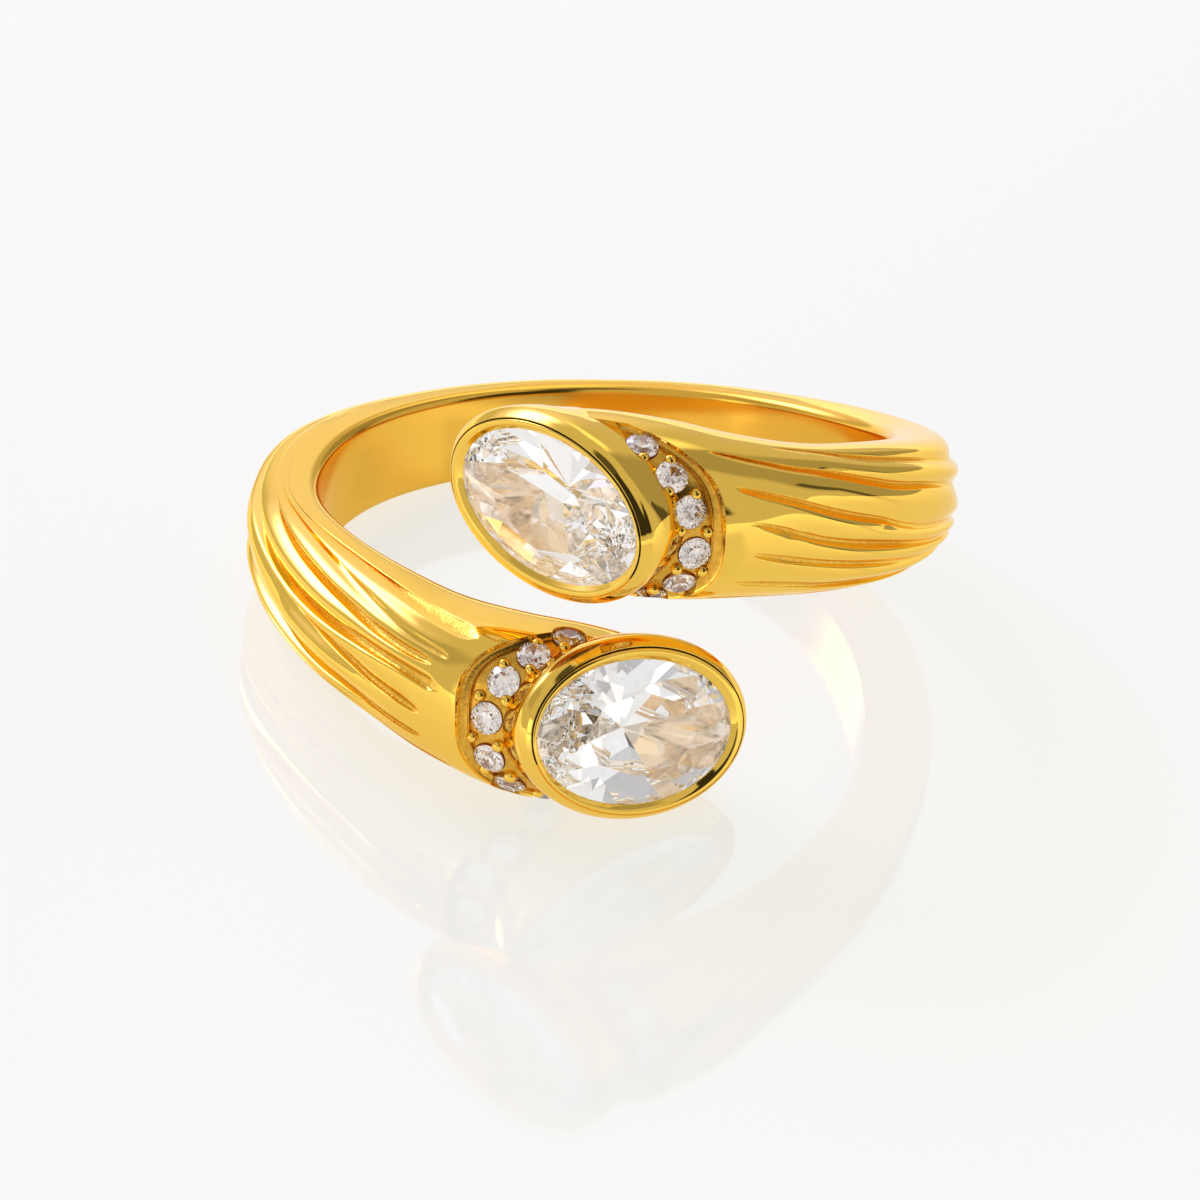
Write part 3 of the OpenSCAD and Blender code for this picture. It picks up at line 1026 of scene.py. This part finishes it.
@dataclass
class Band:
    """The metal of the ring in one piece: both arms with their grooves, the bezels and the channels.

    The rows across a groove are given in half widths from its line, with the share of its depth at each. Pairs
    of angles hold where a change starts and the degrees it takes.
    """

    rest: Rest
    arm: ArmShape
    channel: Channel
    heads: tuple[Head, Head]
    golds: tuple[bpy.types.Material, ...]
    grooves: dict[Side, tuple[Groove, ...]] = field(
        default_factory=lambda: {Side.UPPER: UPPER_GROOVES, Side.LOWER: LOWER_GROOVES}
    )
    across: tuple[float, ...] = (1.5, 1.15, 1.0, 0.9, 0.8, 0.65, 0.4, 0.1, -0.2, -0.5, -0.8, -1.05, -1.25, -1.5, -1.9)
    carve: tuple[float, ...] = (0.0, 0.0, 0.06, 0.32, 0.64, 0.9, 1.0, 1.0, 0.95, 0.84, 0.64, 0.36, 0.15, 0.03, 0.0)
    edge: float = 88.0
    edge_rows: int = 6
    rib_rows: int = 6
    room_share: float = 0.28
    ease_in: float = 0.015
    fillet: float = 0.26
    flute: tuple[float, float] = (0.17, 0.3)
    flute_power: float = 1.4
    flute_back: tuple[float, float] = (42.0, 35.0)
    flute_front: tuple[float, float] = (157.0, 30.0)
    even_back: tuple[float, float] = (38.0, 32.0)
    shoulder_rows: int = 4
    accent_seat: tuple[tuple[float, float], ...] = ((0.1, -0.6), (0.505, -0.05), (0.505, 0.5))
    hole_play: float = 0.02
    sharp_angle: float = 32.0

    def angles(self) -> np.ndarray:
        """Angles of the sections, finer toward the heads.

        Returns:
            Degrees from the back, rising from the lower arm to the upper one.
        """
        front = np.arange(100.0, 196.01, 0.8)
        back = np.arange(-98.75, 98.76, 1.25)
        return np.concatenate([-front[::-1], back, front])

    def half(self, side: Side, angle: np.ndarray) -> tuple[np.ndarray, np.ndarray, np.ndarray]:
        """Rows of one arm's outside in its own frame, top edge first.

        Args:
            side: The arm.
            angle: Degrees from the back, all positive.

        Returns:
            Places, cuts and groove shares, each rows by angles.
        """
        arm, grooves = self.arm, self.grooves[side]
        corner = arm.corner(angle)
        step = np.linalg.norm(arm.point(angle, corner) - arm.point(angle, corner - 1.0), axis=-1)
        corner = corner - self.fillet / step
        centres = [g.place(angle) for g in grooves]
        strengths = [g.strength(angle) for g in grooves]
        deepest = self.flute[0 if side is Side.UPPER else 1]
        (back, swell), (front, fade) = self.flute_back, self.flute_front
        flute = deepest * ease((angle - back) / swell) * ease((front - angle) / fade)
        bounds = [np.full_like(angle, self.edge), *centres, np.full_like(angle, -self.edge)]
        flat = np.zeros_like(angle)
        places, cuts, shares = [corner], [flat], [flat]

        def add(place: np.ndarray, cut: np.ndarray, share: np.ndarray) -> None:
            """Adds one row.

            Args:
                place: Places on the section.
                cut: Depths toward the finger.
                share: Groove shares.
            """
            places.append(place)
            cuts.append(cut)
            shares.append(share)

        for k in range(1, self.edge_rows + 1):
            add(corner + (self.edge - corner) * k / (self.edge_rows + 1), flat, flat)
        for j, groove in enumerate(grooves):
            centre = centres[j]
            step = np.linalg.norm(arm.point(angle, centre + 1.0) - arm.point(angle, centre - 1.0), axis=-1) / 2.0
            room = np.minimum(bounds[j] - centre, centre - bounds[j + 2])
            half = np.minimum(groove.width(angle) / step, room * self.room_share)
            upper = bounds[j] if j == 0 else last_low
            first = centre + half * self.across[0]
            for k in range(1, self.rib_rows + 1):
                u = k / (self.rib_rows + 1)
                place = upper + (first - upper) * u
                t = (place - centre) / (bounds[j] - centre)
                add(place, flute * self.valley(t if j == 0 else np.minimum(t, 1.0 - t)), flat)
            for m, share in zip(self.across, self.carve, strict=True):
                place = centre + half * m
                t = (place - centre) / ((bounds[j] - centre) if m > 0 else (centre - bounds[j + 2]))
                add(place, groove.depth * strengths[j] * share + flute * self.valley(t), share * strengths[j])
            last_low = centre + half * self.across[-1]
        low = bounds[-1]
        for k in range(1, self.rib_rows + 1):
            u = k / (self.rib_rows + 1)
            place = last_low + (low - last_low) * u
            t = (place - centres[-1]) / (centres[-1] - low)
            add(place, flute * self.valley(t), flat)
        for k in range(self.edge_rows + 1):
            add(-self.edge + (-corner + self.edge) * k / self.edge_rows, flat, flat)
        own = np.array(places)
        even = corner * np.linspace(1.0, -1.0, len(own))[:, None]
        own = own + (even - own) * ease((self.even_back[0] - angle) / self.even_back[1])
        return own, np.array(cuts), np.array(shares)

    def valley(self, t: np.ndarray) -> np.ndarray:
        """Depth of the flute between two ribs, 1 at its line and 0 midway."""
        return (0.5 + 0.5 * np.cos(2.0 * math.pi * np.clip(t, -0.5, 0.5))) ** self.flute_power

    def body(self) -> tuple[Solid, np.ndarray]:
        """Both arms in one sweep.

        Returns:
            The solid and the groove share of each point, -1 on the finger wall, where the gold is satin with painted
            shade.
        """
        angle = self.angles()
        columns, masks = [], []
        for side, mine in ((Side.LOWER, angle < 0), (Side.UPPER, angle >= 0)):
            a = angle[mine]
            places, cuts, shares = self.half(side, np.abs(a))
            if side is Side.LOWER:
                places, cuts, shares = -places[::-1], cuts[::-1], shares[::-1]
            points = self.arm.point(a[None, :], places, self.ease_in, cuts)
            columns.append(np.swapaxes(points, 0, 1))
            masks.append(shares.T)
        outer, mask = np.concatenate(columns), np.concatenate(masks)
        inner = self.wall(angle, outer[:, 0], outer[:, -1])
        rings = np.concatenate([outer, inner], axis=1)
        # The finger wall is marked -1, which the gold turns into a satin finish with a deeper tone of painted shade.
        mask = np.concatenate([mask, np.full(inner.shape[:2], -1.0)], axis=1)
        return skin(rings[::-1]), mask[::-1].reshape(-1)

    def wall(self, angle: np.ndarray, top: np.ndarray, bottom: np.ndarray) -> np.ndarray:
        """Wall of the finger hole with its rounded edges.

        Args:
            angle: Degrees from the back.
            top: Last points of the outside at the upper edge.
            bottom: Last points of the outside at the lower edge.

        Returns:
            Points of the wall from the bottom up, angles by rows by three.
        """
        arm = self.arm
        corner, t = arm.corner(angle), np.radians(angle)
        edges = [arm.point(angle, sign * corner, self.ease_in) for sign in (1.0, -1.0)]
        rows = []
        for outside, edge, sign in ((bottom, edges[1], 1.0), (top, edges[0], -1.0)):
            edge = np.stack([arm.bore_radius * np.sin(t), arm.bore_radius * np.cos(t), edge[:, 2]], axis=-1)
            inside = edge + np.stack([0 * t, 0 * t, np.full_like(t, sign * self.fillet)], axis=-1)
            steps = np.linspace(0.14, 1.0, 7)
            arc = [outside * (1 - u) ** 2 + edge * 2 * u * (1 - u) + inside * u * u for u in steps]
            rows.append(arc if sign > 0 else arc[::-1])
        across = [rows[0][-1] * (1 - u) + rows[1][0] * u for u in (0.25, 0.5, 0.75)]
        return np.stack([*rows[0], *across, *rows[1]], axis=1)

    def build(self) -> bpy.types.Object:
        """Makes the band.

        Returns:
            The finished piece.
        """
        solid, mask = self.body()
        piece = add_object("gold_band", solid, self.rest, self.golds)
        attribute = piece.data.attributes.new("groove", "FLOAT", "POINT")
        attribute.data.foreach_set("value", mask.astype(np.float32))
        for head in self.heads:
            self.cut_channel(piece, head)
        for head in self.heads:
            join_solids(piece, self.tool("cup", self.hollowed(head), Finish.POLISHED), Join.ADD)
        for head in self.heads:
            self.cut_seats(piece, head)
        self.paint_seam_shade(piece)
        smooth_faces(piece)
        piece.data.set_sharp_from_angle(angle=math.radians(self.sharp_angle))
        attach(piece, "root")
        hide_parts("band")
        return piece

    def cut_channel(self, piece: bpy.types.Object, head: Head) -> None:
        """Cuts the crescent behind a head and the room for its cup.

        Args:
            piece: The band.
            head: The head.
        """
        cutter = self.channel.cutter(self.arm)
        own = cutter if head.side is Side.UPPER else cutter.moved(np.diag([-1.0, 1.0, -1.0, 1.0]))
        tool = self.tool("channel_cut", own, Finish.CHANNEL)
        row = len(cutter.points) // self.channel.rows
        for k, polygon in enumerate(tool.data.polygons):
            if k % row < self.shoulder_rows:
                polygon.material_index = Finish.POLISHED.value
        join_solids(piece, tool, Join.CUT)
        join_solids(piece, self.tool("head_space", head.space(), Finish.CHANNEL), Join.CUT)

    def cut_seats(self, piece: bpy.types.Object, head: Head) -> None:
        """Cuts the seats of an arm's stones, and the pocket of the lower bezel.

        Args:
            piece: The band.
            head: The head.
        """
        join_solids(piece, self.tool("stone_seat", head.seat(), Finish.SEAT), Join.CUT)
        if head.side is Side.LOWER:
            join_solids(piece, self.tool("scoop", head.scoop(), Finish.CHANNEL), Join.CUT)
        for place in self.channel.row(head.side):
            frame = self.channel.seat(self.arm, head.side, place)
            seat = skin(np.array([oval(r, r, z, 32) for r, z in self.accent_seat])).moved(frame)
            join_solids(piece, self.tool("accent_seat", seat, Finish.CHANNEL), Join.CUT)

    def paint_seam_shade(self, piece: bpy.types.Object) -> None:
        """Paints shade on the faces in the seam round each stone, by giving them the dark seam material.

        Args:
            piece: The band.
        """
        centres = self.rest.own(np.array([p.center[:] for p in piece.data.polygons]))
        slots = np.array([p.material_index for p in piece.data.polygons], dtype=np.int32)
        for head in self.heads:
            # Painted shade: polished faces in the seam beside each lip get the dark seam material.
            slots[head.in_seam(centres) & (slots == Finish.POLISHED.value)] = Finish.SEAM.value
        piece.data.polygons.foreach_set("material_index", slots)

    def tool(self, name: str, solid: Solid, finish: Finish) -> bpy.types.Object:
        """Makes a tool whose faces all have one finish.

        Args:
            name: Name of the tool.
            solid: Its shape.
            finish: Finish that it leaves on the band.

        Returns:
            The tool.
        """
        tool = add_object(name, solid, self.rest, self.golds)
        slots = np.full(len(tool.data.polygons), finish.value, dtype=np.int32)
        tool.data.polygons.foreach_set("material_index", slots)
        return tool

    def hollowed(self, head: Head) -> Solid:
        """The cup with the finger hole cut out of it.

        Args:
            head: The head that the cup belongs to.

        Returns:
            The closed solid.
        """
        cup = add_object("cup_blank", head.wall(), self.rest)
        t = np.radians(np.arange(0, 360, 1.0))
        r = self.arm.bore_radius + self.hole_play
        rings = [np.stack([r * np.sin(-t), r * np.cos(-t), np.full_like(t, z)], axis=1) for z in (-12.0, 12.0)]
        join_solids(cup, add_object("finger", skin(np.array(rings)), self.rest), Join.CUT)
        points = self.rest.own(np.array([v.co[:] for v in cup.data.vertices]))
        faces = [tuple(p.vertices) for p in cup.data.polygons]
        bpy.data.meshes.remove(cup.data)
        return Solid(points, faces)


@dataclass
class Beads:
    """The small metal beads beside the accent stones."""

    band: Band
    stray: float = 1.0
    spread: tuple[float, float] = (0.92, 1.08)

    def build(self) -> bpy.types.Object:
        """Makes all beads as one piece.

        Returns:
            The finished piece.
        """
        points: list[np.ndarray] = []
        faces: list[tuple[int, ...]] = []
        rng = np.random.default_rng(4)
        channel = self.band.channel
        for head in self.band.heads:
            row = channel.row(head.side)
            for p, q in zip(row[:-1], row[1:], strict=True):
                for aside in (-channel.bead_aside, channel.bead_aside):
                    place = (p + q) / 2 + rng.uniform(-self.stray, self.stray)
                    frame = channel.seat(self.band.arm, head.side, place, aside)
                    ball = self.ball(channel.bead * rng.uniform(*self.spread)).moved(frame)
                    base = sum(len(b) for b in points)
                    points.append(ball.points)
                    faces += [tuple(i + base for i in f) for f in ball.faces]
        piece = add_object("gold_beads", Solid(np.concatenate(points), faces), self.band.rest, self.band.golds[:1])
        smooth_faces(piece)
        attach(piece, "root")
        return piece

    @staticmethod
    def ball(radius: float) -> Solid:
        """A bead, a little flat on top.

        Args:
            radius: Radius in millimetres.

        Returns:
            The closed solid.
        """
        rings = []
        for lift in np.radians(np.linspace(-80, 80, 11)):
            wide, high = radius * math.cos(lift), radius * (0.25 + 0.9 * math.sin(lift))
            rings.append(oval(wide, wide, high, 20))
        return skin(np.array(rings))


@dataclass
class Stones:
    """Both ovals and the thirteen small stones."""

    rest: Rest
    arm: ArmShape
    channel: Channel
    heads: tuple[Head, Head]
    main: bpy.types.Material
    small: bpy.types.Material
    accent: Cut = Cut(0.49, 0.49, 0.15, 0.42, 0.56, 0.04, 48)
    accent_lift: float = 0.02
    accent_turn: float = 0.7
    oval_lift: float = -0.18

    def build(self) -> list[bpy.types.Object]:
        """Makes every stone on its seat.

        Returns:
            The stones, those of the upper arm first.
        """
        made = []
        for head in self.heads:
            name = head.side.name.lower()
            cut = Cut(head.half_length + head.lip, head.half_width + head.lip, 0.45, 1.85, 0.56, 0.08)
            frame = head.frame() @ lifted(self.oval_lift)
            made.append(self.stone(name + "_oval", cut.solid().moved(frame), self.main, name + "_stone"))
            for k, place in enumerate(self.channel.row(head.side), 1):
                frame = self.channel.seat(self.arm, head.side, place)
                frame = frame @ np.array(Matrix.Rotation(self.accent_turn * k, 4, "Z")) @ lifted(self.accent_lift)
                small = self.accent.solid().moved(frame)
                made.append(self.stone(f"{name}_brilliant_{k}", small, self.small, f"{name}_accent_{k}"))
        return made

    def stone(self, name: str, solid: Solid, material: bpy.types.Material, node: str) -> bpy.types.Object:
        """Makes one stone in place of its plain solid.

        Args:
            name: Name of the piece.
            solid: Its shape.
            material: Its material.
            node: The plain solid that it replaces.

        Returns:
            The finished piece.
        """
        piece = add_object(name, solid, self.rest, (material,))
        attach(piece, "root")
        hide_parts(node)
        return piece


@dataclass(frozen=True)
class Card:
    """A soft-edged panel of the tent, in degrees of bearing (0 toward the viewer, 90 at the right) and height."""

    bearing: float
    rise: float
    half_width: float
    half_height: float
    light: float
    soft: float = 6.0
    tint: tuple[float, float, float] = (1.0, 1.0, 1.0)

    def over(self, bench: NodeBench, bearing: object, rise: object, below: object) -> bpy.types.NodeSocket:
        """Lays the panel over the light so far.

        Args:
            bench: Tree of the world.
            bearing: Bearing of the look direction.
            rise: Height of the look direction.
            below: Light so far.

        Returns:
            Light with the panel in place.
        """
        turn = bench.math("WRAP", bench.math("SUBTRACT", bearing, self.bearing), 180.0, -180.0)
        aside = bench.math("ABSOLUTE", turn)
        above = bench.math("ABSOLUTE", bench.math("SUBTRACT", rise, self.rise))
        masks = []
        for away, half in ((aside, self.half_width), (above, self.half_height)):
            edge = {"Value": away, "From Min": half + self.soft / 2, "From Max": half - self.soft / 2}
            masks.append(bench.add("ShaderNodeMapRange", edge, interpolation_type="SMOOTHSTEP").outputs[0])
        mask = bench.math("MULTIPLY", masks[0], masks[1])
        colour = tuple(self.light * part for part in self.tint) + (1.0,)
        return bench.blend_colours(mask, below, colour)


@dataclass(frozen=True)
class Studio:
    """Camera and surroundings."""

    rest: Rest
    elevation: float = 16.8
    bearing: float = 1.4
    roll: float = 1.05
    distance: float = 230.0
    focal_px: float = 7520.0
    centre_px: tuple[float, float] = (602.0, 507.5)
    frame_px: float = 1200.0
    sensor: float = 36.0
    bounces: int = 24
    stone_fill: float = 0.42
    stone_light: float = 1.1
    tent: float = 0.67
    cards: tuple[Card, ...] = (
        Card(132, 28, 21, 32, 0.41, 8),
        Card(-88, 40, 14, 13, 0.5, 8),
        Card(-174, 17, 11, 15, 1.0, 12, (1.0, 0.98, 1.15)),
        Card(172, 46, 16, 14, 1.4, 10),
        Card(0, 86, 181, 9, 0.1, 6),
        Card(-140, 32, 30, 16, 1.2, 14, (1.0, 0.95, 1.6)),
        Card(-138, 35, 19, 9, 6.0, 12, (1.0, 0.95, 1.5)),
        Card(-56, 12, 6, 10, 1.8, 5),
        Card(40, 44, 28, 37, 0.04, 4),
        Card(116, 8, 3, 10, 0.1, 2),
    )

    def camera(self) -> None:
        """Places the camera at the photo's angle to the ring."""
        e, b, r = (math.radians(v) for v in (self.elevation, self.bearing, self.roll))
        back = np.array([math.sin(b) * math.cos(e), -math.cos(b) * math.cos(e), math.sin(e)])
        level = np.array([math.cos(b), math.sin(b), 0.0])
        rise = np.cross(back, level)
        right, up = level * math.cos(r) + rise * math.sin(r), rise * math.cos(r) - level * math.sin(r)
        turn = self.rest.turn()
        axes = np.stack([turn @ right, turn @ up, turn @ back], axis=1)
        data = bpy.data.cameras.new("camera")
        data.sensor_width = self.sensor
        data.lens = self.sensor * self.focal_px / self.frame_px
        data.shift_x = (self.frame_px / 2 - self.centre_px[0]) / self.frame_px
        data.shift_y = (self.centre_px[1] - self.frame_px / 2) / self.frame_px
        data.clip_start, data.clip_end = 0.01, 5.0
        camera = bpy.data.objects.new("camera", data)
        matrix = Matrix(axes.tolist()).to_4x4()
        matrix.translation = Vector(self.rest.place(back * self.distance))
        camera.matrix_world = matrix
        bpy.context.scene.collection.objects.link(camera)
        bpy.context.scene.camera = camera

    def surroundings(self) -> None:
        """Bright tent with soft boxes and dark gaps, made in the world shader."""
        world = bpy.data.worlds.new("tent")
        world.use_nodes = True
        world.node_tree.nodes.clear()
        bench = NodeBench(world.node_tree)
        way = bench.add("ShaderNodeTexCoord").outputs["Generated"]
        part = bench.add("ShaderNodeSeparateXYZ", {"Vector": way}).outputs
        bearing = bench.math("DEGREES", bench.math("ARCTAN2", part["X"], bench.math("MULTIPLY", part["Y"], -1.0)))
        rise = bench.math("DEGREES", bench.math("ARCSINE", part["Z"]))
        total: object = (self.tent, self.tent, self.tent, 1.0)
        for card in self.cards:
            total = card.over(bench, bearing, rise, total)
        through = bench.add("ShaderNodeLightPath").outputs["Is Transmission Ray"]
        fill = bench.math("MULTIPLY", through, self.stone_fill)
        light = bench.blend_colours(fill, total, (self.stone_light,) * 3 + (1.0,))
        background = bench.add("ShaderNodeBackground", {"Color": light, "Strength": 1.0})
        bench.add("ShaderNodeOutputWorld", {"Surface": background.outputs[0]})
        bpy.context.scene.world = world

    def light_paths(self) -> None:
        """Plain view transform, and enough bounces for light to leave the stones."""
        scene = bpy.context.scene
        scene.view_settings.view_transform = "Standard"
        scene.cycles.max_bounces = scene.cycles.transmission_bounces = scene.cycles.glossy_bounces = self.bounces


def main() -> None:
    """Builds the ring piece by piece and logs each one."""
    logging.basicConfig(level=logging.INFO, format="%(name)s: %(message)s")
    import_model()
    rest, arm, channel = Rest(), ArmShape(), Channel()
    heads = (
        Head(Side.UPPER, past=6.45, radius=11.45, height=3.4, turn=41, lift=-2.7, roll=-8),
        Head(Side.LOWER, past=6.9, radius=11.46, height=3.4, turn=36, lift=-3.9, roll=-9),
    )
    wear, pits = make_wear_group(), make_pit_group()
    golds = tuple(gold.make(wear, pits) for gold in GOLDS)
    band = Band(rest, arm, channel, heads, golds)
    pieces = [band.build(), Beads(band).build()]
    main_crystal = Crystal("clear_oval", 1.9, (1.0, 0.985, 0.99)).make()
    small_crystal = Crystal("clear_accent", 2.3, (0.92, 0.84, 0.78)).make()
    pieces += Stones(rest, arm, channel, heads, main_crystal, small_crystal).build()
    for piece in pieces:
        LOG.info("%s: %d faces", piece.name, len(piece.data.polygons))
    Table().build()
    studio = Studio(rest)
    studio.camera()
    studio.surroundings()
    studio.light_paths()
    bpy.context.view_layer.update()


if __name__ == "__main__":
    main()
